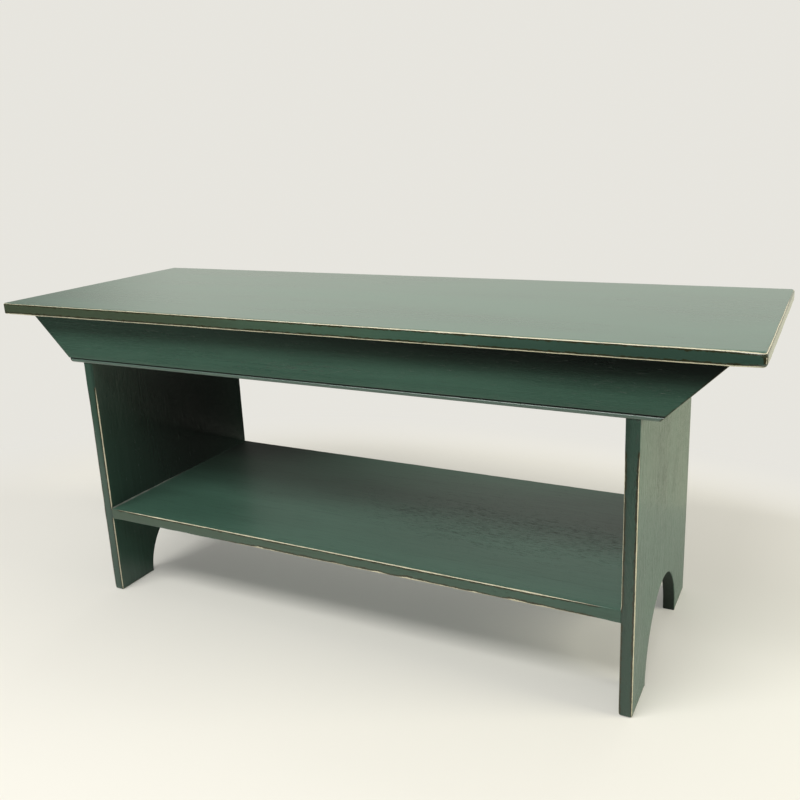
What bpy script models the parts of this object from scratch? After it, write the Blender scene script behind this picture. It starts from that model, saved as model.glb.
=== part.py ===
"""Painted plank bench for the foot of a bed: a seat on two board legs, beaded aprons and a low shelf.

Metres, +Z up. The origin is on the floor under the middle of the seat, with +X to the right as seen
from the front and +Y to the rear. Every board is its own solid, and finishing nails hold them together.
"""

import math

import bmesh
import bpy
from mathutils import Matrix, Vector

# Seat board
SEAT_LENGTH = 1.23825
SEAT_DEPTH = 0.43815
SEAT_THICKNESS = 0.01905
SEAT_HEIGHT = 0.5334
SEAT_CORNER_RADIUS = 0.005
SEAT_EDGE_RADIUS = 0.0025

# How far the seat reaches past the legs
FRONT_OVERHANG = 0.03
REAR_OVERHANG = 0.0165
END_OVERHANG = 0.1435

# Board legs, with a half-round cut-out that leaves two feet
LEG_THICKNESS = 0.01905
LEG_EDGE_RADIUS = 0.0018
ARCH_RADIUS = 0.1143

# Aprons, with sloping ends and a bead along the lower edge
APRON_SETBACK = 0.0365
APRON_HEIGHT = 0.0835
APRON_THICKNESS = 0.01905
APRON_END_SLOPE = math.radians(45)
APRON_PROUD = 0.0025
BEAD_DIAMETER = 0.0064
QUIRK_WIDTH = 0.0016

# Shelf, with a shouldered tongue at each end that sits in a stopped groove in the leg
SHELF_HEIGHT = 0.1617
SHELF_THICKNESS = 0.01905
SHELF_EDGE_RADIUS = 0.0014
TONGUE_SHOULDER = 0.0032
GROOVE_DEPTH = 0.006
GROOVE_STOP = 0.022

# Finishing nails, set below the surface
NAIL_LENGTH = 0.0508
NAIL_SHANK_DIAMETER = 0.0025
NAIL_HEAD_DIAMETER = 0.0036
NAIL_HEAD_LENGTH = 0.0032
NAIL_POINT_LENGTH = 0.0045
NAIL_SET = 0.0015
NAIL_CLEARANCE = 0.0003

# How many nails each joint has, and how far the outer ones stay from the end of the joint
SEAT_TO_APRON_COUNT = 5
SEAT_TO_LEG_COUNT = 3
APRON_TO_LEG_COUNT = 2
LEG_TO_SHELF_COUNT = 4
SEAT_TO_APRON_MARGIN = 0.048
SEAT_TO_LEG_MARGIN = 0.075
APRON_TO_LEG_MARGIN = 0.022
LEG_TO_SHELF_MARGIN = 0.05

# Clearance between boards that touch
JOINT_GAP = 0.0003

# How finely round shapes are divided
ARCH_STEPS = 28
BEAD_STEPS = 12
CORNER_STEPS = 4
ROUND_STEPS = 2
NAIL_SIDES = 8
ROUND_PROFILE = 0.5

# How far a cutter runs past the face it opens, and how close points have to be to be one
CUT_OVERRUN = 0.004
WELD_DISTANCE = 1e-6

# An edge sharper than the first angle can be eased, and one sharper than the second is shaded sharp
SQUARE_ANGLE = math.radians(60)
CREASE_ANGLE = math.radians(35)

# Finishes: base colour, roughness, metallic
PAINT = ("green_paint", (0.038, 0.082, 0.060), 0.42, 0.0)
STEEL = ("nail_steel", (0.42, 0.41, 0.39), 0.45, 1.0)

# Places that follow from the sizes above
SEAT_UNDERSIDE = SEAT_HEIGHT - SEAT_THICKNESS
FRAME_TOP = SEAT_UNDERSIDE - JOINT_GAP
LEG_FRONT = FRONT_OVERHANG - SEAT_DEPTH / 2
LEG_REAR = SEAT_DEPTH / 2 - REAR_OVERHANG
LEG_MIDDLE = (LEG_FRONT + LEG_REAR) / 2
LEG_OUTER = SEAT_LENGTH / 2 - END_OVERHANG
LEG_INNER = LEG_OUTER - LEG_THICKNESS
LEG_CENTRE = LEG_OUTER - LEG_THICKNESS / 2
APRON_HALF_LENGTH = SEAT_LENGTH / 2 - APRON_SETBACK
APRON_BOTTOM = FRAME_TOP - APRON_HEIGHT
SHELF_BOTTOM = SHELF_HEIGHT - SHELF_THICKNESS

# Each apron's show face, and the way into the bench from it
APRON_FACES = {"front": (LEG_FRONT - APRON_PROUD, 1), "rear": (LEG_REAR + APRON_PROUD, -1)}
SIDES = {"left": -1, "right": 1}


def clear_scene():
    for thing in list(bpy.data.objects):
        bpy.data.objects.remove(thing, do_unlink=True)


def finish(name, colour, roughness, metallic):
    material = bpy.data.materials.new(name)
    material.use_nodes = True
    shader = material.node_tree.nodes["Principled BSDF"]
    shader.inputs["Base Color"].default_value = (*colour, 1.0)
    shader.inputs["Roughness"].default_value = roughness
    shader.inputs["Metallic"].default_value = metallic
    return material


def make_mesh(name, bm, material=None):
    """Turns a bmesh into a mesh with its faces pointing out."""
    bmesh.ops.recalc_face_normals(bm, faces=bm.faces)
    mesh = bpy.data.meshes.new(name)
    bm.to_mesh(mesh)
    bm.free()
    if material:
        mesh.materials.append(material)
        mesh.shade_smooth()
        mesh.set_sharp_from_angle(angle=CREASE_ANGLE)
    return mesh


def add_object(mesh, parent, name=None):
    """Links an object that shows a mesh, under the mesh's own name if no other is given."""
    thing = bpy.data.objects.new(name or mesh.name, mesh)
    bpy.context.scene.collection.objects.link(thing)
    thing.parent = parent
    return thing


def combine(thing, other, operation):
    """Adds the other object's solids to a board, or takes them out of it."""
    other.hide_render = True
    other.display_type = "WIRE"
    boolean = thing.modifiers.new(other.name, "BOOLEAN")
    boolean.operation = operation
    boolean.solver = "EXACT"
    boolean.object = other


def add_box(bm, first, second):
    """A box between two opposite corners."""
    middle = (Vector(first) + Vector(second)) / 2
    size = [abs(a - b) for a, b in zip(first, second)]
    place = Matrix.Translation(middle) @ Matrix.Diagonal((*size, 1.0))
    bmesh.ops.create_cube(bm, size=1.0, matrix=place)


def extrude_outline(points, depth):
    """A prism: a closed outline of 3-D points, pushed along a vector."""
    bm = bmesh.new()
    face = bm.faces.new([bm.verts.new(point) for point in points])
    pushed = bmesh.ops.extrude_face_region(bm, geom=[face])
    moved = [item for item in pushed["geom"] if isinstance(item, bmesh.types.BMVert)]
    bmesh.ops.translate(bm, verts=moved, vec=Vector(depth))
    bmesh.ops.recalc_face_normals(bm, faces=bm.faces)
    return bm


def ease_edges(bm, radius, chosen):
    """Rounds over the square edges for which chosen(middle, direction) is true."""
    edges = []
    for edge in bm.edges:
        start, end = (vertex.co for vertex in edge.verts)
        square = edge.calc_face_angle() > SQUARE_ANGLE
        if square and chosen((start + end) / 2, (end - start).normalized()):
            edges.append(edge)
    bmesh.ops.bevel(bm, geom=edges, offset=radius, segments=ROUND_STEPS, profile=ROUND_PROFILE,
                    affect="EDGES")


def runs_along(direction, axis):
    """Whether an edge runs nearer to an axis than to any square to it: 0 for X, 1 for Y and 2 for Z."""
    return abs(direction[axis]) > math.cos(math.radians(45))


def arc(centre, radius, start, end, steps):
    """Points on an arc in a plane, angles in radians, both ends included."""
    turn = (end - start) / steps
    angles = [start + turn * step for step in range(steps + 1)]
    return [(centre[0] + radius * math.cos(a), centre[1] + radius * math.sin(a)) for a in angles]


def spread(count, low, high):
    """Numbered values, evenly spaced from low to high."""
    return [(step + 1, low + (high - low) * step / (count - 1)) for step in range(count)]


def make_seat(material, parent):
    """The seat: one wide board with rounded corners and eased rims."""
    half_length = SEAT_LENGTH / 2 - SEAT_CORNER_RADIUS
    half_depth = SEAT_DEPTH / 2 - SEAT_CORNER_RADIUS
    corners = [(half_length, half_depth), (-half_length, half_depth),
               (-half_length, -half_depth), (half_length, -half_depth)]
    outline = []
    for number, corner in enumerate(corners):
        start = number * math.pi / 2
        outline += arc(corner, SEAT_CORNER_RADIUS, start, start + math.pi / 2, CORNER_STEPS)
    bm = extrude_outline([(x, y, SEAT_UNDERSIDE) for x, y in outline], (0, 0, SEAT_THICKNESS))
    ease_edges(bm, SEAT_EDGE_RADIUS, lambda middle, direction: not runs_along(direction, 2))
    return add_object(make_mesh("seat_board", bm, material), parent)


def make_leg(name, side, material, parent):
    """A leg board, with a half-round cut-out that leaves two feet. Its top end stays square."""
    arch = arc((LEG_MIDDLE, 0), ARCH_RADIUS, 0, math.pi, ARCH_STEPS)
    outline = [(LEG_REAR, 0), *arch, (LEG_FRONT, 0), (LEG_FRONT, FRAME_TOP), (LEG_REAR, FRAME_TOP)]
    bm = extrude_outline([(side * LEG_INNER, y, z) for y, z in outline], (side * LEG_THICKNESS, 0, 0))
    top = FRAME_TOP - LEG_EDGE_RADIUS
    ease_edges(bm, LEG_EDGE_RADIUS, lambda middle, direction: middle.z < top and not runs_along(direction, 0))
    leg = add_object(make_mesh(name, bm, material), parent)
    combine(leg, leg_joinery(name, side, parent), "DIFFERENCE")
    return leg


def leg_joinery(name, side, parent):
    """What is cut out of a leg: a notch for each apron, and the stopped groove for the shelf's tongue."""
    bm = bmesh.new()
    inside = side * (LEG_INNER - CUT_OVERRUN)
    outside = side * (LEG_OUTER + CUT_OVERRUN)
    notch_floor = APRON_BOTTOM - JOINT_GAP
    for face, inward in APRON_FACES.values():
        notch_wall = face + inward * (APRON_THICKNESS + JOINT_GAP)
        add_box(bm, (inside, face - inward * CUT_OVERRUN, notch_floor),
                (outside, notch_wall, FRAME_TOP + CUT_OVERRUN))
    groove_low = SHELF_BOTTOM + TONGUE_SHOULDER - JOINT_GAP
    groove_high = SHELF_HEIGHT - TONGUE_SHOULDER + JOINT_GAP
    add_box(bm, (inside, LEG_FRONT + GROOVE_STOP, groove_low),
            (side * (LEG_INNER + GROOVE_DEPTH), LEG_REAR - GROOVE_STOP, groove_high))
    return add_object(make_mesh(name + "_joinery", bm), parent)


def apron_profile():
    """An apron's section, as depth behind the show face and height: a flat face, a quirk and a bead."""
    bead = BEAD_DIAMETER / 2
    quirk_top = BEAD_DIAMETER + QUIRK_WIDTH
    bead_round = arc((bead, bead), bead, math.pi / 2, 3 * math.pi / 2, BEAD_STEPS)
    flat = [(APRON_THICKNESS, APRON_HEIGHT), (0, APRON_HEIGHT), (0, quirk_top)]
    return [*flat, *bead_round, (APRON_THICKNESS, 0)]


def make_apron(name, face, inward, material, parent):
    """An apron: the beaded section run lengthwise, with both ends sloping in towards the bead."""
    bm = bmesh.new()
    ends = []
    for side in SIDES.values():
        end = []
        for depth, height in apron_profile():
            reach = APRON_HALF_LENGTH - (APRON_HEIGHT - height) * math.tan(APRON_END_SLOPE)
            end.append(bm.verts.new((side * reach, face + inward * depth, APRON_BOTTOM + height)))
        bm.faces.new(end)
        ends.append(bm.edges[-len(end):])
    bmesh.ops.bridge_loops(bm, edges=ends[0] + ends[1])
    return add_object(make_mesh(name, bm, material), parent)


def make_shelf(material, parent):
    """The shelf: a board between the legs, with a shouldered tongue at each end."""
    shoulder = LEG_INNER - JOINT_GAP
    corners = [(shoulder, LEG_FRONT), (shoulder, LEG_REAR), (-shoulder, LEG_REAR), (-shoulder, LEG_FRONT)]
    bm = extrude_outline([(x, y, SHELF_BOTTOM) for x, y in corners], (0, 0, SHELF_THICKNESS))
    ease_edges(bm, SHELF_EDGE_RADIUS, lambda middle, direction: runs_along(direction, 0))
    shelf = add_object(make_mesh("shelf_board", bm, material), parent)
    tongues = bmesh.new()
    for side in SIDES.values():
        root = side * (shoulder - CUT_OVERRUN)
        tip = side * (LEG_INNER + GROOVE_DEPTH - JOINT_GAP)
        add_box(tongues, (root, LEG_FRONT + GROOVE_STOP + JOINT_GAP, SHELF_BOTTOM + TONGUE_SHOULDER),
                (tip, LEG_REAR - GROOVE_STOP - JOINT_GAP, SHELF_HEIGHT - TONGUE_SHOULDER))
    combine(shelf, add_object(make_mesh("shelf_tongues", tongues), parent), "UNION")
    return shelf


def nail_profile():
    """Radius and distance along a finishing nail, from its head to its point."""
    head = NAIL_HEAD_DIAMETER / 2
    shank = NAIL_SHANK_DIAMETER / 2
    return [(0, 0), (head, 0), (head, NAIL_HEAD_LENGTH / 2), (shank, NAIL_HEAD_LENGTH),
            (shank, NAIL_LENGTH - NAIL_POINT_LENGTH), (0, NAIL_LENGTH)]


def nail_hole_profile():
    """The nail's own shape with clearance all round, open to the surface above the head."""
    mouth = -NAIL_SET - CUT_OVERRUN
    head = NAIL_HEAD_DIAMETER / 2 + NAIL_CLEARANCE
    shank = NAIL_SHANK_DIAMETER / 2 + NAIL_CLEARANCE
    neck = NAIL_HEAD_LENGTH + NAIL_CLEARANCE
    return [(0, mouth), (head, mouth), (head, neck / 2 + NAIL_CLEARANCE), (shank, neck),
            (shank, NAIL_LENGTH - NAIL_POINT_LENGTH), (0, NAIL_LENGTH + NAIL_CLEARANCE)]


def turn_profile(profile):
    """Spins a profile of radius and distance about Z into a closed solid."""
    bm = bmesh.new()
    points = [bm.verts.new((radius, 0, along)) for radius, along in profile]
    edges = [bm.edges.new(pair) for pair in zip(points, points[1:])]
    bmesh.ops.spin(bm, geom=points + edges, cent=(0, 0, 0), axis=(0, 0, 1), angle=2 * math.pi,
                   steps=NAIL_SIDES, use_merge=True)
    bmesh.ops.remove_doubles(bm, verts=bm.verts, dist=WELD_DISTANCE)
    return bm


def nail_places():
    """Every nail: its name, where it enters, the way it is driven, and the two boards that it joins."""
    places = []
    reach = APRON_HALF_LENGTH - SEAT_TO_APRON_MARGIN
    shelf_middle = SHELF_BOTTOM + SHELF_THICKNESS / 2
    for facing, (face, inward) in APRON_FACES.items():
        apron = f"{facing}_apron"
        for number, x in spread(SEAT_TO_APRON_COUNT, -reach, reach):
            entry = (x, face + inward * APRON_THICKNESS / 2, SEAT_HEIGHT)
            places.append((f"nail_seat_to_{apron}_{number}", entry, (0, 0, -1), ("seat_board", apron)))
    for label, side in SIDES.items():
        leg = f"{label}_leg"
        for number, y in spread(SEAT_TO_LEG_COUNT, LEG_FRONT + SEAT_TO_LEG_MARGIN,
                                LEG_REAR - SEAT_TO_LEG_MARGIN):
            entry = (side * LEG_CENTRE, y, SEAT_HEIGHT)
            places.append((f"nail_seat_to_{leg}_{number}", entry, (0, 0, -1), ("seat_board", leg)))
        for number, y in spread(LEG_TO_SHELF_COUNT, LEG_FRONT + LEG_TO_SHELF_MARGIN,
                                LEG_REAR - LEG_TO_SHELF_MARGIN):
            entry = (side * LEG_OUTER, y, shelf_middle)
            places.append((f"nail_{leg}_to_shelf_{number}", entry, (-side, 0, 0), (leg, "shelf_board")))
        for facing, (face, inward) in APRON_FACES.items():
            apron = f"{facing}_apron"
            for number, z in spread(APRON_TO_LEG_COUNT, APRON_BOTTOM + APRON_TO_LEG_MARGIN,
                                    FRAME_TOP - APRON_TO_LEG_MARGIN):
                entry = (side * LEG_CENTRE, face, z)
                places.append((f"nail_{apron}_to_{leg}_{number}", entry, (0, inward, 0), (apron, leg)))
    return places


def drive_nails(boards, material, parent):
    """Makes the nails, and drills their holes in the boards that they join."""
    nail = make_mesh("nail", turn_profile(nail_profile()), material)
    hole = make_mesh("nail_hole", turn_profile(nail_hole_profile()))
    drills = {name: bmesh.new() for name in boards}
    for name, entry, way, joined in nail_places():
        heading = Vector(way)
        turn = heading.to_track_quat("Z", "Y").to_matrix().to_4x4()
        place = Matrix.Translation(Vector(entry) + heading * NAIL_SET) @ turn
        add_object(nail, parent, name).matrix_local = place
        drill = hole.copy()
        drill.transform(place)
        for board in joined:
            drills[board].from_mesh(drill)
    for name, bm in drills.items():
        combine(boards[name], add_object(make_mesh(name + "_nail_holes", bm), parent), "DIFFERENCE")


def main():
    clear_scene()
    paint = finish(*PAINT)
    steel = finish(*STEEL)
    bench = bpy.data.objects.new("bench", None)
    bpy.context.scene.collection.objects.link(bench)
    boards = {"seat_board": make_seat(paint, bench), "shelf_board": make_shelf(paint, bench)}
    for label, side in SIDES.items():
        boards[f"{label}_leg"] = make_leg(f"{label}_leg", side, paint, bench)
    for facing, (face, inward) in APRON_FACES.items():
        boards[f"{facing}_apron"] = make_apron(f"{facing}_apron", face, inward, paint, bench)
    drive_nails(boards, steel, bench)


main()
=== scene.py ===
"""Looks of the painted plank bench: hand-eased boards, satin green paint, and wood worn bare at the edges.

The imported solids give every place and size. Each board is replaced by a finer mesh of the same shape, whose
rims are eased unevenly, as sanding by hand leaves them. The rims carry their distance to the nearest arris,
which drives the worn lines in the paint. Metres, +Z up.
"""

import math
from collections import namedtuple

import bmesh
import bpy
import numpy as np
from mathutils import Matrix, Vector, noise

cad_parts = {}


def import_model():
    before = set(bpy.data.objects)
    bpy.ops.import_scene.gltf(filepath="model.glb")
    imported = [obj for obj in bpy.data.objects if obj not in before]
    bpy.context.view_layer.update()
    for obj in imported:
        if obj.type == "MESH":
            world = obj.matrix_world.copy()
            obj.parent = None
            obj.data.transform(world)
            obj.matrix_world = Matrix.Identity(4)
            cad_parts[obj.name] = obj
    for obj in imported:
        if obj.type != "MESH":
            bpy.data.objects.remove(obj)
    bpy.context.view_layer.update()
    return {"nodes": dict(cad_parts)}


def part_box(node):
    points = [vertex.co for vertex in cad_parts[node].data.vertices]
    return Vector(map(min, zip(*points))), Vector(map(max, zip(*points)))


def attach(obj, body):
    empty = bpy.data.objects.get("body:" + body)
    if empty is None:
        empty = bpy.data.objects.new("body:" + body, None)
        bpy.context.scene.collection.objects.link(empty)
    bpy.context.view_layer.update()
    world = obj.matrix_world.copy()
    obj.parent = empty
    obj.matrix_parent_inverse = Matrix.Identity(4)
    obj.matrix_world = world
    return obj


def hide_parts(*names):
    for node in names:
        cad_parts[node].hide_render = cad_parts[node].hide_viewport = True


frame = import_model()

# Noise from 0 to 1: bumps per metre along and across the grain, detail, roughness, and shift from the seed
Pattern = namedtuple("Pattern", "along across detail rough shift")

# Noise about zero: how far it goes, bumps per metre, and shift from the seed
Wobble = namedtuple("Wobble", "amount rate shift")
WOBBLE_DETAIL = 2.0
WOBBLE_ROUGH = 0.55
BEND_DETAIL = 1.0

# Camera of the photograph
CAMERA_EYE = (0.6919, -1.2304, 0.7732)
CAMERA_AIM = (0.0624, 0.0, 0.4014)
CAMERA_ROLL = math.radians(-2.326)
CAMERA_LENS_MM = 39.1
CAMERA_SHIFT = (-0.0155, -0.0285)

# Sizes that the boards' boxes don't give
SEAT_CORNER = 0.005
ARCH_RADIUS = 0.1143
FOOT_CORNER = 0.003
APRON_END_SLOPE = math.radians(45)
BEAD_RADIUS = 0.0032
BEAD_START = 112
QUIRK_WIDTH = 0.0014
QUIRK_LIP = 0.0006
APRON_BACK_EASE = 0.0012

# How a rim is divided: rings on the flat beside it, steps round an eased edge, and rings on its side
BOARD_FLATS = (0.016, 0.012, 0.0095)
APRON_FLATS = (0.0028, 0.0018)
APRON_SIDES = (0.004, 0.012)
EASE_STEPS = 6
SIDE_SHARES = (0.46, 0.5, 0.54)
TABLE_INSETS = np.array([0.0, 0.001, 0.002, 0.003, 0.0045, 0.0065, 0.0095, 0.012, 0.016])
SPACING = 0.006
CORNER_STEPS = 6
ARCH_STEPS = 72
SOLE_STEPS = 14
BEAD_STEPS = 20
QUIRK_STEPS = 3
APRON_FACE_STEPS = 8
APRON_BACK_STEPS = 4
CAULK_STEPS = 5
CORNER_CLEAR = 0.012
NO_CORNER = 1.0
CREASE_ANGLE = math.radians(35)
WELD_DISTANCE = 1e-6

# How unevenly edges are eased, in shares of the radius
EASE_SWELL = Wobble(0.30, 14.0, 0.0)
EASE_RIPPLE = Wobble(0.22, 70.0, 0.5)

# Paint, wood and light colours, linear
PAINT_DEEP = (0.025, 0.061, 0.043)
PAINT_LIGHT = (0.037, 0.085, 0.061)
# Pore colour, also used for painted shade on marked sides
PORE_AND_SHADE = (0.006, 0.011, 0.008)
# Pale rubbed paint colour, also used for painted highlight on marked sides
RUBBED_HIGHLIGHT = (0.105, 0.150, 0.128)
BARE_WOOD = (0.75, 0.72, 0.55)
BARE_WOOD_DARK = (0.57, 0.53, 0.36)
BROWN_GLAZE = (0.024, 0.022, 0.005)
BROWN_WASH = (0.047, 0.050, 0.022)
# Darker wash on narrow sides, partly painted shade
DARK_WASH_AND_SHADE = (0.020, 0.044, 0.033)
# Pale filler colour, a painted highlight along the joint
FILLER_HIGHLIGHT = (0.30, 0.33, 0.285)
STEEL = (0.42, 0.41, 0.39)
BACKDROP = (0.80, 0.785, 0.735)
CLOTH = (0.80, 0.79, 0.715)
CLOTH_WARM = (0.85, 0.81, 0.62)
FLOOR = (0.87, 0.855, 0.80)
SOFT_WHITE = (1.0, 0.99, 0.96)

# Studio: the floor, the glowing cloth behind the bench that only reflections show, with painted shade,
# dimming and warmth on it, and how dim the room in front is
FLOOR_REACH = 14.0
FLOOR_CLOUD = Pattern(1.5, 1.5, 3.0, 0.5, 0.0)
FLOOR_MOTTLE = 0.3
FLOOR_NEAR = (1.2, 0.8, 1.0)
FLOOR_FADE = (0.75, 1.2)
FLOOR_LIFT = 0.2
FLOOR_FRONT = (-0.45, -1.0)
CLOTH_BACK = 0.55
CLOTH_HALF = 3.0
CLOTH_HEIGHT = 2.6
SHADE_LOW = (0.20, 0.345)
SHADE_LEFT = (-0.76, 0.27)
SHADE_RIGHT = (0.36, 0.52)
SHADE_TOP = (0.38, 0.55)
SHADE_DIM = 0.04
WARM_TOP = (0.60, 0.42)
CLOTH_FALL = (-1.6, -0.85)
CLOTH_DIM = 0.45
FRONT_DIM = 0.17
FRONT_DARK = 0.06
FRONT_FALL = (-2.2, 0.0)
ROOM_FALL = (0.3, -0.5)
FILL = 0.18

# Lamps: place, the point they aim at, width, depth, watts, colour, and whether reflections show them
Lamp = namedtuple("Lamp", "place aim width depth watts colour reflected")
LAMPS = {"overhead": Lamp((0.0, -0.3, 3.2), (0.0, -0.3, 0.0), 5.0, 5.0, 32.0, (1.0, 0.985, 0.96), True),
         "key": Lamp((-0.5, -1.85, 2.9), (-0.4, 0.0, 0.3), 3.0, 0.9, 82.0, SOFT_WHITE, True),
         "right": Lamp((4.2, 0.55, 2.2), (0.4, 0.1, 0.2), 1.9, 1.9, 115.0, (1.0, 0.96, 0.80), False),
         "rear": Lamp((0.0, 2.8, 1.8), (0.0, 0.0, 0.3), 3.0, 1.0, 16.0, SOFT_WHITE, False)}

# A board's paint: grain axis, noise seed, tone, set per board as painted light so that boards of one paint
# come out lighter or darker, roughness, clear coat, grain relief, the wash on its narrow sides and where its
# brown ends and its dark wash, partly painted shade, begins along the grain, pores and where they crowd, and
# the centre and reach of a patch of painted shade where shadow falls
NO_PAINTED_SHADE = ((0.0, 0.0, -9.0), (1.0, 1.0, 1.0))
Paint = namedtuple("Paint", "axis seed tone rough coat relief wash brown dark pores figure reach "
                   "nook nook_reach", defaults=NO_PAINTED_SHADE)
# How the painted shade fades from its core to its reach, and how dark the paint gets at its core
PAINTED_SHADE_SPAN = (1.0, 0.15)
PAINTED_SHADE_DEPTH = 0.12
COAT_ROUGHNESS = 0.2
GRAIN_BEND = Wobble(0.007, 14.0, 27.0)
BROWN_DRIFT = Wobble(0.5, 5.0, 25.0)
SIDE_TURN = (0.0, -0.9)
RECESS_SPAN = (-0.4, -0.6)

# Patterns of the paint, what each mark adds to its patches of colour, its roughness and its height, and the
# mean of what tone and streak add to the roughness
PAINT_PATTERNS = {"tone": Pattern(2.0, 9.0, 3.0, 0.55, 0.0),
                  "streak": Pattern(2.5, 160.0, 3.0, 0.6, 3.1),
                  "fibre": Pattern(25.0, 900.0, 2.0, 0.6, 5.7),
                  "ripple": Pattern(55.0, 170.0, 2.0, 0.6, 7.1)}
PATCH = {"tone": 0.7, "streak": 0.3}
PATCH_SPAN = (0.3, 0.7)
POLISH = {"tone": 0.06, "streak": 0.04, "side": -0.12, "recess": 0.5, "pores": 0.2, "bare": 0.25}
POLISH_MEAN = 0.05
HEIGHT = {"fibre": 0.25, "streak": 0.5, "ripple": 1.5, "pores": -2.8, "bare": -0.6}

# Open pores: short dashes and long lines, and how a board's figure and a few bands crowd the dashes
PORE_BANDS = Pattern(6.0, 55.0, 2.0, 0.6, 8.3)
PORE_DASHES = Pattern(75.0, 620.0, 2.0, 0.6, 11.9)
PORE_LINES = Pattern(9.0, 260.0, 3.0, 0.6, 12.7)
FIGURE_SPAN = (1.0, 0.2)
BAND_CROWD = (0.45, 0.75, 0.0, 0.06)
FIGURE_BANDS = (0.4, 0.65)
PORE_CROWD = {"figure": 0.14, "both": 0.02}
DASH_SPAN = (0.62, 0.84)
LINE_SPAN = (0.52, 0.74, 0.0, 0.3)

# Wear: width of a full worn line, how much noise moves its border, and the brown glaze left beside it
WEAR_WIDTH = 0.0010
WEAR_DRIFT = Wobble(1.1, 8.0, 14.0)
WEAR_BREAK = Wobble(1.0, 55.0, 17.0)
WEAR_NIBBLE = Wobble(0.9, 260.0, 20.0)
WEAR_SOFT = 0.0003
WEAR_START = (0.02, 0.15)
GLAZE_TURN = (-0.4, 0.4)
GLAZE_SIDE = 0.0026
GLAZE_FACE = 0.0007
GLAZE_SOFT = 0.0008
GLAZE_BORDER = Pattern(110.0, 110.0, 3.0, 0.6, 23.0)
GLAZE_RAGGED = (2.4, -0.3)
GLAZE_COVER = 0.88

# Filler: the bead's width and how it swells, where its painted highlight fades into painted shade towards the
# rear, its patches, roughness and height
CAULK = 0.0022
CAULK_MEAN = 0.8
CAULK_SWELL = Wobble(0.4, 30.0, 7.0)
CAULK_FADE = (1.0, 0.3)
FILLER_FADE = (-0.12, 0.06)
FILLER_PATCH = Pattern(40.0, 40.0, 3.0, 0.6, 0.0)
FILLER_SPAN = (0.35, 0.65)
FILLER_DIM = 0.55
# The painted shade at the rear: a share of the deep paint colour
FILLER_REAR_SHADE = 0.5
FILLER_ROUGH = 0.3
FILLER_POLISH = {"patch": 0.2, "rear_shade": 0.3}
FILLER_BUMP = (0.3, 0.0003)

# Nail wire: its tarnish, roughness and height
TARNISH = Pattern(140.0, 140.0, 3.0, 0.6, 0.0)
TARNISH_SPAN = (0.45, 0.75)
TARNISH_DIM = 0.5
WIRE_ROUGH = 0.3
WIRE_POLISH = {"tarnish": 0.3}
WIRE_BUMP = (0.3, 0.0002)

# How a run of an outline is finished: ease radius, wear of the near and far rims, wear of the side,
# raggedness, and the side's painted shade from -1 for dark to 1 for a pale painted highlight
Style = namedtuple("Style", "ease near far side ragged shade", defaults=(0.0, 1.0, 0.0))
HIDDEN = Style(0.0004, 0.0, 0.0)

# Seat: ease of its edges, how much more at its right corners and again at the front one, and how wear grows
# along the front from the left and along the right end from the rear
SEAT_EASE = 0.0026
SEAT_CORNER_EASE = 0.0018
SEAT_CORNER_REACH = 0.035
SEAT_FRONT_REACH = 0.05
SEAT_FRONT_RUN = (0.0, 0.9)
SEAT_FRONT_WEAR = (0.4, 0.95)
SEAT_END_RUN = (0.09, 0.14)
SEAT_END_WEAR = (0.1, 0.6)

# Shelf: ease of its edges at the legs and clear of them, how far off the left and right leg that and the
# front's wear begin and how softly, and chips along its lower arris
SHELF_EASE = (0.0005, 0.0020)
SHELF_CLEAR = (0.006, 0.010, 0.012)
SHELF_WEAR = (0.0, 0.02, 0.1)
SHELF_RAGGED = 2.4
CHIPS = Wobble(2.4, 40.0, 3.0)
CHIP_MEAN = 2.0
CHIP_START = -0.22
CHIP_END = 0.03
CHIP_SOFT = 0.08

# Legs: ease of the front edge at the apron and below it, how far below, and how much the shelf keeps off
LEG_EASE = (0.0007, 0.0020)
LEG_APRON_CLEAR = 0.04
LEG_APRON_SOFT = 0.035
LEG_SHELF_CLEAR = 0.006
LEG_SHELF_SOFT = 0.008
LEG_SHELF_KEEPS = 0.85

# What differs between the legs: side, wear of the front's outer arris, and of its inner one above and under
# the shelf's underside, the front's painted shade, and the paint's roughness, coat, relief and pores
Leg = namedtuple("Leg", "side outer above under shade rough coat relief pores")
LEGS = {"left": Leg(side=-1, outer=0.2, above=1.0, under=0.8, shade=-0.1,
                    rough=0.25, coat=0.0, relief=0.0003, pores=0.2),
        "right": Leg(side=1, outer=1.1, above=0.7, under=0.2, shade=-0.25,
                     rough=0.38, coat=0.15, relief=0.0011, pores=0.34)}

# A ring of a board's mesh: outline inset, share of the thickness, offset, distance to the arris, lip, wear
Ring = namedtuple("Ring", "inset share offset edge lip wear")

# Where a board lies in its baked picture: a box for each flat and one for the rim, the rim's folds, and
# whether it is turned
Bake = namedtuple("Bake", "flats rim folds turned", defaults=(3, False))
STACKED = Bake(((0.0, 0.0, 1.0, 0.31), (0.0, 0.31, 1.0, 0.62)), (0.0, 0.62, 1.0, 1.0))
BESIDE = Bake(((0.0, 0.0, 0.5, 0.66), (0.5, 0.0, 1.0, 0.66)), (0.0, 0.66, 1.0, 1.0))
LONG = Bake(((0.0, 0.9, 0.1, 1.0), (0.1, 0.9, 0.2, 1.0)), (0.0, 0.0, 1.0, 0.9), 1, True)
BAKE_MARGIN = 0.004
FOLD_MARGIN = 0.02


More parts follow.
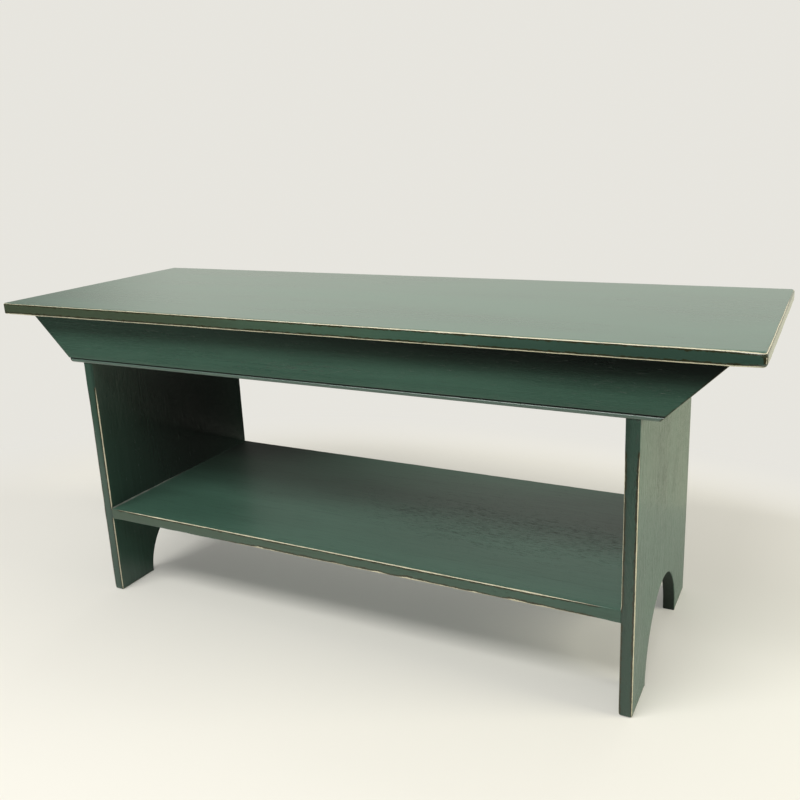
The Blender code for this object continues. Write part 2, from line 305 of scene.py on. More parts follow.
class Graph:
    """Builds a material's nodes, with plain values or other nodes' outputs as inputs."""

    def __init__(self, tree):
        self.tree = tree
        tree.nodes.clear()

    def node(self, kind, inputs=None, **settings):
        made = self.tree.nodes.new(kind)
        for name, value in settings.items():
            setattr(made, name, value)
        for name, value in (inputs or {}).items():
            if isinstance(value, bpy.types.NodeSocket):
                self.tree.links.new(value, made.inputs[name])
            else:
                made.inputs[name].default_value = value
        return made

    def math(self, operation, *values, clamp=False):
        made = self.node("ShaderNodeMath", dict(enumerate(values)), operation=operation, use_clamp=clamp)
        return made.outputs[0]

    def vector(self, operation, *values):
        return self.node("ShaderNodeVectorMath", dict(enumerate(values)), operation=operation)

    def total(self, base, weights, parts):
        """A base and the weighted parts, added up."""
        for name, weight in weights.items():
            base = self.math("MULTIPLY_ADD", parts[name], weight, base)
        return base

    def mix(self, factor, first, second):
        """Mixes two colours."""
        colours = [(*c, 1.0) if isinstance(c, tuple) else c for c in (first, second)]
        made = self.node("ShaderNodeMix", {0: factor, 6: colours[0], 7: colours[1]}, data_type="RGBA")
        return made.outputs[2]

    def place(self):
        """Where a point lies, in metres."""
        return self.node("ShaderNodeTexCoord").outputs["Object"]

    def along(self, place, axis):
        """One coordinate of a place."""
        return self.node("ShaderNodeSeparateXYZ", {0: place}).outputs[axis]

    def away(self, place, centre, reach):
        """Distance from a centre, with each axis measured in its own reach."""
        shift = self.vector("SUBTRACT", place, centre).outputs[0]
        share = self.vector("DIVIDE", shift, reach).outputs[0]
        return self.vector("LENGTH", share).outputs["Value"]

    def noise(self, place, pattern, axis=0, seed=0.0):
        """Noise from 0 to 1, drawn out along the grain's axis."""
        scale = [pattern.across] * 3
        scale[axis] = pattern.along
        shift = (seed + pattern.shift,) * 3
        drawn = self.node("ShaderNodeMapping", {"Vector": place, "Scale": scale, "Location": shift})
        made = self.node("ShaderNodeTexNoise", {"Vector": drawn.outputs[0], "Scale": 1.0,
                                                "Detail": pattern.detail, "Roughness": pattern.rough})
        return made.outputs[0]

    def wobble(self, place, swing, seed):
        """Noise about zero."""
        pattern = Pattern(swing.rate, swing.rate, WOBBLE_DETAIL, WOBBLE_ROUGH, swing.shift)
        found = self.noise(place, pattern, 0, seed)
        return self.math("MULTIPLY_ADD", found, swing.amount, -swing.amount / 2)

    def bend(self, place, swing, seed):
        """Places moved about by smooth noise."""
        shift = (seed + swing.shift,) * 3
        shifted = self.node("ShaderNodeMapping", {"Vector": place, "Location": shift}).outputs[0]
        swirl = self.node("ShaderNodeTexNoise", {"Vector": shifted, "Scale": swing.rate,
                                                 "Detail": BEND_DETAIL})
        return self.vector("MULTIPLY_ADD", swirl.outputs[1], (swing.amount,) * 3, place).outputs[0]

    def span(self, value, low, high, first=0.0, second=1.0):
        """Maps low to high onto first to second, smoothly and within bounds."""
        made = self.node("ShaderNodeMapRange", {0: value, 1: low, 2: high, 3: first, 4: second},
                         interpolation_type="SMOOTHSTEP")
        return made.outputs[0]

    def attribute(self, name):
        return self.node("ShaderNodeAttribute", attribute_name=name).outputs["Fac"]

    def surface(self, colour, rough, height, strength, distance, finish):
        """Ends a material with a shader, bumped by a height and with the settings of its finish."""
        bump = self.node("ShaderNodeBump", {"Height": height, "Strength": strength, "Distance": distance})
        shader = self.node("ShaderNodeBsdfPrincipled", {"Base Color": colour, "Roughness": rough,
                                                        "Normal": bump.outputs[0], **finish})
        self.node("ShaderNodeOutputMaterial", {"Surface": shader.outputs[0]})


def new_material(name):
    material = bpy.data.materials.new(name)
    material.use_nodes = True
    return material, Graph(material.node_tree)


def scaled(colour, share):
    return tuple(c * share for c in colour)


def open_pores(g, place, paint):
    """Dark dashes of open grain, crowded in the board's figure and in a few bands, and fainter lines."""
    bands, dashes, lines = [g.noise(place, pattern, paint.axis, paint.seed)
                            for pattern in (PORE_BANDS, PORE_DASHES, PORE_LINES)]
    figure = g.span(g.away(place, paint.figure, paint.reach), *FIGURE_SPAN)
    both = g.math("MULTIPLY", figure, g.span(bands, *FIGURE_BANDS))
    crowd = g.total(g.span(bands, *BAND_CROWD), PORE_CROWD, {"figure": figure, "both": both})
    dashes = g.span(g.math("ADD", dashes, crowd), *DASH_SPAN)
    return g.math("MULTIPLY", g.math("MAXIMUM", dashes, g.span(lines, *LINE_SPAN)), paint.pores)


def worn_edges(g, place, seed):
    """Where the paint is worn to bare wood, and where brown glaze is left beside that."""
    edge = g.attribute("edge")
    wear = g.attribute("wear")
    drift, breaks, nibble = [g.wobble(place, swing, seed)
                             for swing in (WEAR_DRIFT, WEAR_BREAK, WEAR_NIBBLE)]
    share = g.math("ADD", g.math("ADD", drift, breaks), g.math("ADD", nibble, 1.0))
    width = g.math("MULTIPLY", share, wear)
    inside = g.math("MULTIPLY_ADD", width, WEAR_WIDTH, g.math("MULTIPLY", edge, -1.0))
    worn = g.span(wear, *WEAR_START)
    bare = g.math("MULTIPLY", g.span(inside, -WEAR_SOFT, WEAR_SOFT), worn)
    room = g.span(g.attribute("lip"), *GLAZE_TURN, GLAZE_SIDE, GLAZE_FACE)
    ragged = g.math("MULTIPLY_ADD", g.noise(place, GLAZE_BORDER, 0, seed), *GLAZE_RAGGED)
    border = g.math("MULTIPLY_ADD", room, ragged, inside)
    glaze = g.math("MULTIPLY", g.span(border, -GLAZE_SOFT, GLAZE_SOFT), worn)
    return bare, g.math("MULTIPLY", glaze, GLAZE_COVER)


def paint_marks(g, place, paint):
    """What the paint's colour, roughness and height are made from, by name."""
    grain = g.bend(place, GRAIN_BEND, paint.seed)
    marks = {name: g.noise(grain, pattern, paint.axis, paint.seed)
             for name, pattern in PAINT_PATTERNS.items()}
    marks["pores"] = open_pores(g, grain, paint)
    marks["bare"], marks["glaze"] = worn_edges(g, place, paint.seed)
    marks["side"] = g.math("MULTIPLY", g.span(g.attribute("lip"), *SIDE_TURN), paint.wash)
    marks["recess"] = g.span(g.attribute("shade"), *RECESS_SPAN)
    return marks


def paint_colour(g, place, paint, marks):
    """Green paint in patches with painted shade and highlight, washed sides, pores, glaze and bare wood."""
    patch = g.span(g.total(0.0, PATCH, marks), *PATCH_SPAN)
    deep = scaled(PAINT_DEEP, paint.tone)
    colour = g.mix(patch, deep, scaled(PAINT_LIGHT, paint.tone))
    # Painted shade: darker towards the patch's core, where shadow falls in a corner or under an overhang
    painted_shade = g.span(g.away(place, paint.nook, paint.nook_reach), *PAINTED_SHADE_SPAN)
    colour = g.mix(painted_shade, colour, scaled(deep, PAINTED_SHADE_DEPTH))
    # Brown wash and a darker wash on the narrow sides; the darker one is partly painted shade
    along = g.math("ADD", g.along(place, paint.axis), g.wobble(place, BROWN_DRIFT, paint.seed))
    brown = g.math("MULTIPLY", marks["side"], g.span(along, *paint.brown, 1.0, 0.0))
    dark = g.math("MULTIPLY", marks["side"], g.span(along, *paint.dark))
    colour = g.mix(dark, g.mix(brown, colour, BROWN_WASH), DARK_WASH_AND_SHADE)
    # A side's painted highlight where its shade mark is above zero, and painted shade where it is below
    shade = g.attribute("shade")
    colour = g.mix(g.span(shade, 0.0, 1.0), colour, RUBBED_HIGHLIGHT)
    colour = g.mix(g.span(shade, 0.0, -1.0), colour, PORE_AND_SHADE)
    colour = g.mix(marks["glaze"], g.mix(marks["pores"], colour, PORE_AND_SHADE), BROWN_GLAZE)
    return g.mix(marks["bare"], colour, g.mix(marks["fibre"], BARE_WOOD_DARK, BARE_WOOD))


def painted_wood(name, paint):
    """Satin paint over wood, with brush strokes and pores along the grain, worn off along the edges."""
    material, g = new_material(name)
    place = g.place()
    marks = paint_marks(g, place, paint)
    colour = paint_colour(g, place, paint, marks)
    rough = g.math("SUBTRACT", g.total(paint.rough, POLISH, marks), POLISH_MEAN, clamp=True)
    height = g.total(0.0, HEIGHT, marks)
    coat = {"Coat Weight": paint.coat, "Coat Roughness": COAT_ROUGHNESS}
    g.surface(colour, rough, height, 1.0, paint.relief, coat)
    return material


def joint_filler(name):
    """Filler in a joint, pale at the front as a painted highlight and darkened towards the rear as painted
    shade.
    """
    material, g = new_material(name)
    place = g.place()
    patch = g.noise(place, FILLER_PATCH)
    # Painted shade towards the rear, where the painted highlight fades
    rear_shade = g.span(g.along(place, 1), *FILLER_FADE)
    colour = g.mix(g.span(patch, *FILLER_SPAN), scaled(FILLER_HIGHLIGHT, FILLER_DIM), FILLER_HIGHLIGHT)
    colour = g.mix(rear_shade, colour, scaled(PAINT_DEEP, FILLER_REAR_SHADE))
    rough = g.total(FILLER_ROUGH, FILLER_POLISH, {"patch": patch, "rear_shade": rear_shade})
    g.surface(colour, rough, patch, *FILLER_BUMP, {})
    return material


def nail_steel():
    """Drawn wire with a little tarnish."""
    material, g = new_material("drawn_wire")
    tarnish = g.noise(g.place(), TARNISH)
    colour = g.mix(g.span(tarnish, *TARNISH_SPAN), STEEL, scaled(STEEL, TARNISH_DIM))
    rough = g.total(WIRE_ROUGH, WIRE_POLISH, {"tarnish": tarnish})
    g.surface(colour, rough, tarnish, *WIRE_BUMP, {"Metallic": 1.0})
    return material


def line(start, end, count, run):
    """Evenly spaced points between two ends, with neither end."""
    shares = [step / count for step in range(1, count)]
    return [(start[0] + (end[0] - start[0]) * s, start[1] + (end[1] - start[1]) * s, run) for s in shares]


def turn(centre, radius, start, sweep, count, run):
    """Points on an arc with both ends, angles in degrees."""
    angles = [math.radians(start + sweep * step / count) for step in range(count + 1)]
    return [(centre[0] + radius * math.cos(a), centre[1] + radius * math.sin(a), run) for a in angles]


def divisions(length):
    return max(2, round(length / SPACING))


def rectangle(low, high, corner):
    """An outline with rounded corners, counter-clockwise from its front left, for any inset."""
    names = ("front", "right", "rear", "left")
    counts = [divisions(high[0] - low[0]), divisions(high[1] - low[1])] * 2

    def outline(inset):
        radius = max(corner - inset, 0.0)
        reach = inset + radius
        x0, y0, x1, y1 = low[0] + reach, low[1] + reach, high[0] - reach, high[1] - reach
        centres = [(x0, y0), (x1, y0), (x1, y1), (x0, y1)]
        corners = [turn(c, radius, 180 + 90 * n, 90, CORNER_STEPS, "corner") for n, c in enumerate(centres)]
        points = []
        for number, name in enumerate(names):
            here, after = corners[number], corners[(number + 1) % 4]
            points += here + line(here[-1], after[0], counts[number], name)
        return points

    return outline


def leg_outline(box, apron_front, apron_rear, top):
    """A leg's outline in Y and Z, for any inset: two feet, a half-round between them, and two notches."""
    front, rear = box[0].y, box[1].y
    middle = (front + rear) / 2
    floor = apron_front[0].z
    wall_front, wall_rear = apron_front[1].y, apron_rear[0].y

    def outline(inset):
        radius = max(FOOT_CORNER - inset, 0.0)
        reach = inset + radius
        arch = ARCH_RADIUS + inset
        start = math.degrees(math.asin(inset / arch))
        low_front = turn((front + reach, reach), radius, 180, 90, CORNER_STEPS, "sole")
        low_rear = turn((rear - reach, reach), radius, 270, 90, CORNER_STEPS, "sole")
        round_top = turn((middle, 0), arch, 180 - start, 2 * start - 180, ARCH_STEPS, "arch")
        y0, y1, y2, y3 = front + inset, wall_front + inset, wall_rear - inset, rear - inset
        z0, z1 = floor - inset, top - inset
        high = [(y3, z0), (y2, z0), (y2, z1), (y1, z1), (y1, z0), (y0, z0)]
        points = low_front + line(low_front[-1], round_top[0], SOLE_STEPS, "sole") + round_top
        points += line(round_top[-1], low_rear[0], SOLE_STEPS, "sole") + low_rear
        points += line(low_rear[-1], high[0], divisions(floor), "rear")
        points += [(*corner, "joint") for corner in high]
        return points + line(high[-1], low_front[0], divisions(floor), "front")

    return outline


def shrink(points, inset):
    """A counter-clockwise outline moved inwards by its corners' mitres."""
    places = np.array([point[:2] for point in points])
    ways = (places - np.roll(places, 1, axis=0), np.roll(places, -1, axis=0) - places)
    inward = [np.column_stack([-way[:, 1], way[:, 0]]) / np.linalg.norm(way, axis=1)[:, None]
              for way in ways]
    mitre = (inward[0] + inward[1]) / (1 + np.sum(inward[0] * inward[1], axis=1))[:, None]
    return places + mitre * inset


def apron_outline(face, inward, bottom, top, thickness):
    """An apron's section in Y and Z: a flat face, a quirk and a bead, for any inset."""
    height = top - bottom
    bead = turn((BEAD_RADIUS, BEAD_RADIUS), BEAD_RADIUS, BEAD_START, 270 - BEAD_START, BEAD_STEPS, "bead")
    bead[:QUIRK_STEPS] = [(*point[:2], "quirk") for point in bead[:QUIRK_STEPS]]
    quirk = bead[0][1] + QUIRK_WIDTH
    lip = turn((QUIRK_LIP, quirk + QUIRK_LIP), QUIRK_LIP, 180, 90, QUIRK_STEPS, "quirk")
    lip[0] = (*lip[0][:2], "face")
    ease = APRON_BACK_EASE
    heel = turn((thickness - ease, ease), ease, 270, 90, APRON_BACK_STEPS, "back")
    section = [(thickness, height, "top"), (0, height, "face")]
    section += line((0, height), lip[0], APRON_FACE_STEPS, "face") + lip
    section += [(bead[0][0], quirk, "quirk"), *bead, *heel]
    runs = [point[2] for point in section]

    def outline(inset):
        moved = shrink(section, inset)
        return [(face + inward * depth, bottom + rise, run) for (depth, rise), run in zip(moved, runs)]

    return outline


def beyond(value, limit, soft):
    """0 up to a limit, rising to 1 a soft width past it."""
    return min(max((value - limit) / soft, 0.0), 1.0)


def before(value, limit, soft):
    """1 up to a soft width short of a limit, falling to 0 at it."""
    return beyond(-value, -limit, soft)


def between(value, low, high, soft):
    """1 between two limits and 0 beyond them, with soft ends."""
    return beyond(value, low, soft) * before(value, high, soft)


def wander(points, seed, wobble):
    """Smooth noise about zero at each point."""
    shift = Vector((seed + wobble.shift,) * 3)
    spots = [Vector((point[0], point[1], 0.0)) * wobble.rate + shift for point in points]
    return np.array([wobble.amount * noise.noise(spot) for spot in spots])


def pick(table, inset):
    """Each outline point at its own inset, from the table of whole outlines."""
    step = np.clip(np.searchsorted(TABLE_INSETS, inset) - 1, 0, len(TABLE_INSETS) - 2)
    share = (inset - TABLE_INSETS[step]) / (TABLE_INSETS[step + 1] - TABLE_INSETS[step])
    column = np.arange(table.shape[1])
    return table[step, column] * (1 - share)[:, None] + table[step + 1, column] * share[:, None]


def eased_rows(radius, near):
    """Inset, depth, distance to the arris and lip of rings round an eased edge, flat to side or back."""
    rows = []
    for step in range(EASE_STEPS + 1):
        angle = math.pi / 2 * step / EASE_STEPS
        turned = 2.0 * step / EASE_STEPS - 1.0
        inset = radius * (1 - math.sin(angle))
        depth = radius * (1 - math.cos(angle))
        rows.append((inset, depth, radius * abs(turned), -turned))
    return rows if near else rows[::-1]


def corner_distance(flat, runs):
    """Distance along the outline from the middle of the nearest rounded corner."""
    step = np.linalg.norm(np.roll(flat, -1, axis=0) - flat, axis=1)
    along = np.concatenate([[0.0], np.cumsum(step)[:-1]])
    around = step.sum()
    starts = [k for k, run in enumerate(runs) if run == "corner" and runs[k - 1] != "corner"]
    gaps = [np.abs(along - along[start + CORNER_STEPS // 2]) for start in starts]
    return np.min([np.full(len(runs), NO_CORNER)] + [np.minimum(gap, around - gap) for gap in gaps], axis=0)


def in_box(box, share):
    """A place in a box of the baked picture, from shares of its width and height."""
    room = [box[n + 2] - box[n] - 2 * BAKE_MARGIN for n in (0, 1)]
    return tuple(box[n] + BAKE_MARGIN + room[n] * share[n] for n in (0, 1))


def board_faces(flat, places, bake):
    """A board's faces from ring to ring, then its two flats, and where their corners lie in the picture."""
    count = len(flat)
    step = np.linalg.norm(np.roll(flat, -1, axis=0) - flat, axis=1)
    along = np.concatenate([[0.0], np.cumsum(step)])
    across = np.cumsum([0.0] + [np.linalg.norm(b - a, axis=1).mean() for a, b in zip(places, places[1:])])
    across = FOLD_MARGIN + (1 - 2 * FOLD_MARGIN) * across / across[-1]
    fold = along[-1] / bake.folds
    spare = step.max()
    faces = []
    spots = []
    for ring in range(len(places) - 1):
        for here in range(count):
            corners = [(ring, here), (ring, here + 1), (ring + 1, here + 1), (ring + 1, here)]
            faces.append([r * count + h % count for r, h in corners])
            row = min(int((along[here] + along[here + 1]) / 2 / fold), bake.folds - 1)
            for r, h in corners:
                width = (along[h] - row * fold + spare) / (fold + 2 * spare)
                height = (row + across[r]) / bake.folds
                spots.append(in_box(bake.rim, (height, width) if bake.turned else (width, height)))
    shares = (flat - flat.min(axis=0)) / np.ptp(flat, axis=0)
    for ring, box in ((0, bake.flats[0]), (len(places) - 1, bake.flats[1])):
        faces.append(list(range(ring * count, (ring + 1) * count)))
        spots += [in_box(box, share) for share in shares]
    return faces, spots


def eased_rings(radius, share, corner, wear):
    """Rings round an eased edge: the near one from flat to side, the far one from side to flat."""
    near = share == 0.0
    ones = np.ones(len(radius))
    rings = []
    for inset, depth, edge, lip in eased_rows(radius, near):
        edge = np.minimum(edge, corner + radius * (1 + lip))
        rings.append(Ring(inset, share, depth if near else -depth, edge, ones * lip, wear))
    return rings


def make_board(name, outline, place, styles, seed, material, flats, sides, bake):
    """A board from its outline: a flat, an eased rim, a side, a second eased rim and a second flat.

    styles finishes each run of the outline, with numbers or functions of the place on it. place turns an
    outline point, a share of the thickness and an offset into a point in space. flats are insets, and sides
    are shares of the thickness, offsets and distances to the nearer arris."""
    runs = [point[2] for point in outline(0.0)]
    table = np.array([[point[:2] for point in outline(inset)] for inset in TABLE_INSETS])
    flat = table[0]
    ones = np.ones(len(flat))
    columns = zip(*[styles[run] for run in runs])
    ease, near, far, side, ragged, shade = [
        np.array([value(*spot) if callable(value) else value for value, spot in zip(column, flat)])
        for column in columns]
    swells = [1 + wander(flat, seed + n, EASE_SWELL) for n in (0, 1)]
    ripples = [ragged * wander(flat, seed + n, EASE_RIPPLE) for n in (0, 1)]
    radius = [ease * (swell + ripple) for swell, ripple in zip(swells, ripples)]
    corner = corner_distance(flat, runs)
    clear = np.clip(corner / CORNER_CLEAR, 0.0, 1.0)

    rings = [Ring(ones * inset, 0.0, 0.0 * ones, ones * inset, ones, near) for inset in flats]
    rings += eased_rings(radius[0], 0.0, corner, near)
    for share, offset, edge in sides:
        wear = side + ((near if share < 0.5 else far) - side) * clear
        rings.append(Ring(0.0 * ones, share, ones * offset, np.minimum(edge, corner), -ones, wear))
    rings += eased_rings(radius[1], 1.0, corner, far)
    rings += [Ring(ones * inset, 1.0, 0.0 * ones, ones * inset, ones, far) for inset in reversed(flats)]

    places = [place(pick(table, ring.inset), ring.share, ring.offset) for ring in rings]
    faces, spots = board_faces(flat, places, bake)
    marks = {mark: np.concatenate([getattr(ring, mark) for ring in rings])
             for mark in ("edge", "lip", "wear")}
    marks["shade"] = np.concatenate([shade * np.clip(-ring.lip, 0.0, 1.0) for ring in rings])
    return finish_mesh(name, np.concatenate(places), faces, marks, material, spots)


def finish_mesh(name, places, faces, marks, material, spots=None):
    """Links a clean, closed mesh with its marks as point attributes and its places in the baked picture."""
    mesh = bpy.data.meshes.new(name)
    mesh.from_pydata(places.tolist(), [], faces)
    if spots:
        mesh.uv_layers.new(name="OFBake").data.foreach_set("uv", np.ravel(spots))
    for mark, values in marks.items():
        mesh.attributes.new(mark, "FLOAT", "POINT").data.foreach_set("value", values.astype(np.float32))
    bm = bmesh.new()
    bm.from_mesh(mesh)
    bmesh.ops.remove_doubles(bm, verts=bm.verts, dist=WELD_DISTANCE)
    bmesh.ops.triangulate(bm, faces=[face for face in bm.faces if len(face.verts) > 4])
    bmesh.ops.recalc_face_normals(bm, faces=bm.faces)
    bm.to_mesh(mesh)
    bm.free()
    mesh.shade_smooth()
    mesh.set_sharp_from_angle(angle=CREASE_ANGLE)
    mesh.materials.append(material)
    piece = bpy.data.objects.new(name, mesh)
    bpy.context.scene.collection.objects.link(piece)
    return piece


def board_sides(thickness):
    """Rings on a board's side, with their distance to the nearer arris."""
    return [(share, 0.0, thickness * min(share, 1 - share)) for share in SIDE_SHARES]


def lying(low, high):
    """Turns outline points of a board that lies flat into points in space, from its top down."""
    thickness = high.z - low.z

    def place(points, share, offset):
        return np.column_stack([points, high.z - share * thickness - offset])

    return place


def settle(piece, node):
    """Puts a board in its node's place."""
    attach(piece, "root")
    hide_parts(node)


def make_seat():
    """The seat board, rounder at its right corners and worn along its front."""
    low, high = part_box("seat_board")

    def ease(x, y):
        rubbed = 1.0 + before(y, low.y + SEAT_FRONT_REACH, SEAT_FRONT_REACH)
        right = beyond(x, high.x - SEAT_CORNER_REACH, SEAT_CORNER_REACH)
        return SEAT_EASE + SEAT_CORNER_EASE * rubbed * right

    def front_wear(x, y):
        return np.interp(x - low.x, SEAT_FRONT_RUN, SEAT_FRONT_WEAR)

    def end_wear(x, y):
        return np.interp(high.y - y, SEAT_END_RUN, SEAT_END_WEAR)

    # The right end's side is paler as a painted highlight, and the front's darker wash towards the right is
    # partly painted shade
    styles = {"front": Style(ease, near=front_wear, far=1.45),
              "right": Style(ease, near=end_wear, far=0.3, shade=0.55),
              "rear": Style(ease, near=0.75, far=0.6),
              "left": Style(ease, near=0.6, far=0.55),
              "corner": Style(ease, near=0.6, far=0.5, side=0.14)}
    # Tone set per board as painted light
    paint = Paint(axis=0, seed=1.7, tone=1.7, rough=0.28, coat=0.3, relief=0.00002,
                  wash=0.75, brown=(-0.45, 0.42), dark=(-0.05, 0.42),
                  pores=0.05, figure=(0.15, 0.05, high.z), reach=(0.5, 0.07, 1.0))
    outline = rectangle(low, high, SEAT_CORNER)
    material = painted_wood("paint_seat", paint)
    piece = make_board("seat", outline, lying(low, high), styles, seed=11.0, material=material,
                       flats=BOARD_FLATS, sides=board_sides(high.z - low.z), bake=STACKED)
    settle(piece, "seat_board")


def make_shelf():
    """The shelf between the legs, chipped along its lower front arris, with painted shade at its rear left
    corner.
    """
    low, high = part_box("shelf_board")
    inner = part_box("right_leg")[0].x
    outline = rectangle(Vector((-inner, low.y)), Vector((inner, high.y)), 0.0)

    def clear_of_legs(x):
        left, right, soft = SHELF_CLEAR
        return between(x, left - inner, inner - right, soft)

    def ease(x, y):
        return np.interp(clear_of_legs(x), (0.0, 1.0), SHELF_EASE)

    def front_wear(x, y):
        left, right, soft = SHELF_WEAR
        return between(x, left - inner, inner - right, soft) * clear_of_legs(x)

    def chipped(x, y):
        chip = CHIP_MEAN + CHIPS.amount * noise.noise(Vector((x * CHIPS.rate, y, CHIPS.shift)))
        return max(chip, 0.0) * between(x, CHIP_START, inner - CHIP_END, CHIP_SOFT)

    styles = {"front": Style(ease, near=front_wear, far=chipped, ragged=SHELF_RAGGED),
              "rear": Style(ease, near=0.6, far=0.5),
              "left": HIDDEN, "right": HIDDEN, "corner": HIDDEN}
    # Tone set per board as painted light; the patch of painted shade lies at the rear corner by the left leg
    paint = Paint(axis=0, seed=23.4, tone=1.58, rough=0.42, coat=0.12, relief=0.0001,
                  wash=0.4, brown=(0.0, 0.4), dark=(0.0, 0.4),
                  pores=0.6, figure=(0.24, -0.005, high.z), reach=(0.46, 0.12, 1.0),
                  nook=(-inner, high.y, high.z), nook_reach=(0.40, 0.21, 1.0))
    material = painted_wood("paint_shelf", paint)
    piece = make_board("shelf", outline, lying(low, high), styles, seed=31.0, material=material,
                       flats=BOARD_FLATS, sides=board_sides(high.z - low.z), bake=STACKED)
    settle(piece, "shelf_board")


def make_leg(label, leg):
    """A leg board, worn along its front, with painted shade on its front, in its half-round and on its inner
    face.
    """
    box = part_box(f"{label}_leg")
    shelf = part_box("shelf_board")
    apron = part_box("front_apron")
    thickness = box[1].x - box[0].x
    outer = box[1].x if leg.side > 0 else box[0].x
    outline = leg_outline(box, apron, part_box("rear_apron"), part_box("seat_board")[0].z)

    def place(points, share, offset):
        return np.column_stack([outer - leg.side * (share * thickness + offset), points])

    def below_apron(z):
        return before(z, apron[0].z - LEG_APRON_CLEAR, LEG_APRON_SOFT)

    def beside_shelf(z):
        return between(z, shelf[0].z - LEG_SHELF_CLEAR, shelf[1].z + LEG_SHELF_CLEAR, LEG_SHELF_SOFT)

    def front_ease(y, z):
        return np.interp(below_apron(z) * (1 - LEG_SHELF_KEEPS * beside_shelf(z)), (0.0, 1.0), LEG_EASE)

    def outer_wear(y, z):
        return leg.outer * below_apron(z)

    def inner_wear(y, z):
        wear = leg.above if z > shelf[0].z else leg.under
        return wear * below_apron(z) * (1 - beside_shelf(z))

    # The front and the half-round are darkened as painted shade
    styles = {"front": Style(front_ease, near=outer_wear, far=inner_wear, shade=leg.shade),
              "rear": Style(0.0019, near=0.6, far=0.5),
              "arch": Style(0.0016, near=0.0, far=0.0, shade=-0.65),
              "sole": Style(0.0030, near=0.4, far=0.4),
              "joint": HIDDEN}
    # Tone set per board as painted light; the patch of painted shade lies on the inner face under the seat
    paint = Paint(axis=2, seed=40.0 + 7 * leg.side, tone=1.4,
                  rough=leg.rough, coat=leg.coat, relief=leg.relief,
                  wash=0.5, brown=(-0.9, -0.5), dark=(-0.9, -0.5),
                  pores=leg.pores, figure=(outer, 0.0, 0.34), reach=(0.006, 0.42, 0.32),
                  nook=(outer - leg.side * thickness, 0.12, 0.36), nook_reach=(0.012, 0.55, 0.72))
    material = painted_wood(f"paint_{label}_leg", paint)
    piece = make_board(f"{label}_side", outline, place, styles, seed=50.0 + leg.side, material=material,
                       flats=BOARD_FLATS, sides=board_sides(thickness), bake=BESIDE)
    settle(piece, f"{label}_leg")


def make_apron(label, inward):
    """An apron with sloping ends, painted shade at its top and quirk, and a painted highlight on its bead."""
    low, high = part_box(f"{label}_apron")
    face = low.y if inward > 0 else high.y
    outline = apron_outline(face, inward, low.z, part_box("seat_board")[0].z, high.y - low.y)
    sides = [(0.0, offset, offset) for offset in APRON_SIDES]
    sides += [(1.0, -offset, offset) for offset in reversed(APRON_SIDES)]

    def place(points, share, offset):
        reach = high.x - (high.z - points[:, 1]) * math.tan(APRON_END_SLOPE)
        return np.column_stack([(2 * share - 1) * reach + offset, points])

    # The quirk is darkened as painted shade and the bead lightened as a painted highlight
    styles = {"top": HIDDEN,
              "face": Style(0.0012, near=0.08, far=0.1),
              "quirk": Style(0.0004, near=0.0, far=0.0, shade=-1.0),
              "bead": Style(0.0006, near=0.1, far=0.1, shade=0.7),
              "back": Style(0.0009, near=0.2, far=0.2)}
    # Tone set per board as painted light; the patch of painted shade lies along the top, under the seat's
    # overhang, deeper to the right
    paint = Paint(axis=0, seed=71.0 + 5 * inward, tone=1.38, rough=0.28, coat=0.1, relief=0.0002,
                  wash=0.0, brown=(0.0, 1.0), dark=(0.0, 1.0),
                  pores=0.4, figure=(0.0, face, 0.462), reach=(0.2, 0.012, 0.014),
                  nook=(0.6, face, high.z), nook_reach=(1.6, 0.05, 0.063))
    material = painted_wood(f"paint_{label}_apron", paint)
    piece = make_board(f"{label}_rail", outline, place, styles, seed=81.0 + inward, material=material,
                       flats=APRON_FLATS, sides=sides, bake=LONG)
    settle(piece, f"{label}_apron")


def caulk_size(along, side):
    """How wide the bead of filler is at a depth: it swells and thins, and is slight at the rear."""
    fade = np.interp(along, FILLER_FADE, CAULK_FADE)
    swell = noise.noise(Vector((along * CAULK_SWELL.rate, side, CAULK_SWELL.shift)))
    return CAULK * fade * (CAULK_MEAN + CAULK_SWELL.amount * swell)


def make_caulk(label, side):
    """A thin hollow bead of painted filler where the shelf meets a leg."""
    low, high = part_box("shelf_board")
    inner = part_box("right_leg")[0].x
    count = divisions(high.y - low.y)
    ends = (low.y + CAULK, high.y - CAULK)
    rows = []
    for step in range(count + 1):
        along = ends[0] + (ends[1] - ends[0]) * step / count
        size = caulk_size(along, side)
        arc = turn((inner - size, high.z + size), size, 0, -90, CAULK_STEPS, "caulk")
        rows.append([(side * point[0], along, point[1]) for point in arc] + [(side * inner, along, high.z)])
    width = len(rows[0])
    faces = [[step * width + n, step * width + (n + 1) % width,
              (step + 1) * width + (n + 1) % width, (step + 1) * width + n]
             for step in range(count) for n in range(width)]
    faces += [list(range(width)), list(range(count * width, (count + 1) * width))]
    places = np.array([place for row in rows for place in row])
    piece = finish_mesh(f"{label}_caulk", places, faces, {}, joint_filler(f"filler_{label}"))
    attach(piece, "root")


def dress_nails():
    """Gives the CAD nails their wire."""
    steel = nail_steel()
    for node, thing in frame["nodes"].items():
        if node.startswith("nail_"):
            thing.data.materials.clear()
            thing.data.materials.append(steel)


def make_sheet(name, corners, material):
    """A flat sheet of the studio."""
    mesh = bpy.data.meshes.new(name)
    mesh.from_pydata(corners, [], [(0, 1, 2, 3)])
    mesh.materials.append(material)
    sheet = bpy.data.objects.new(name, mesh)
    bpy.context.scene.collection.objects.link(sheet)
    return sheet


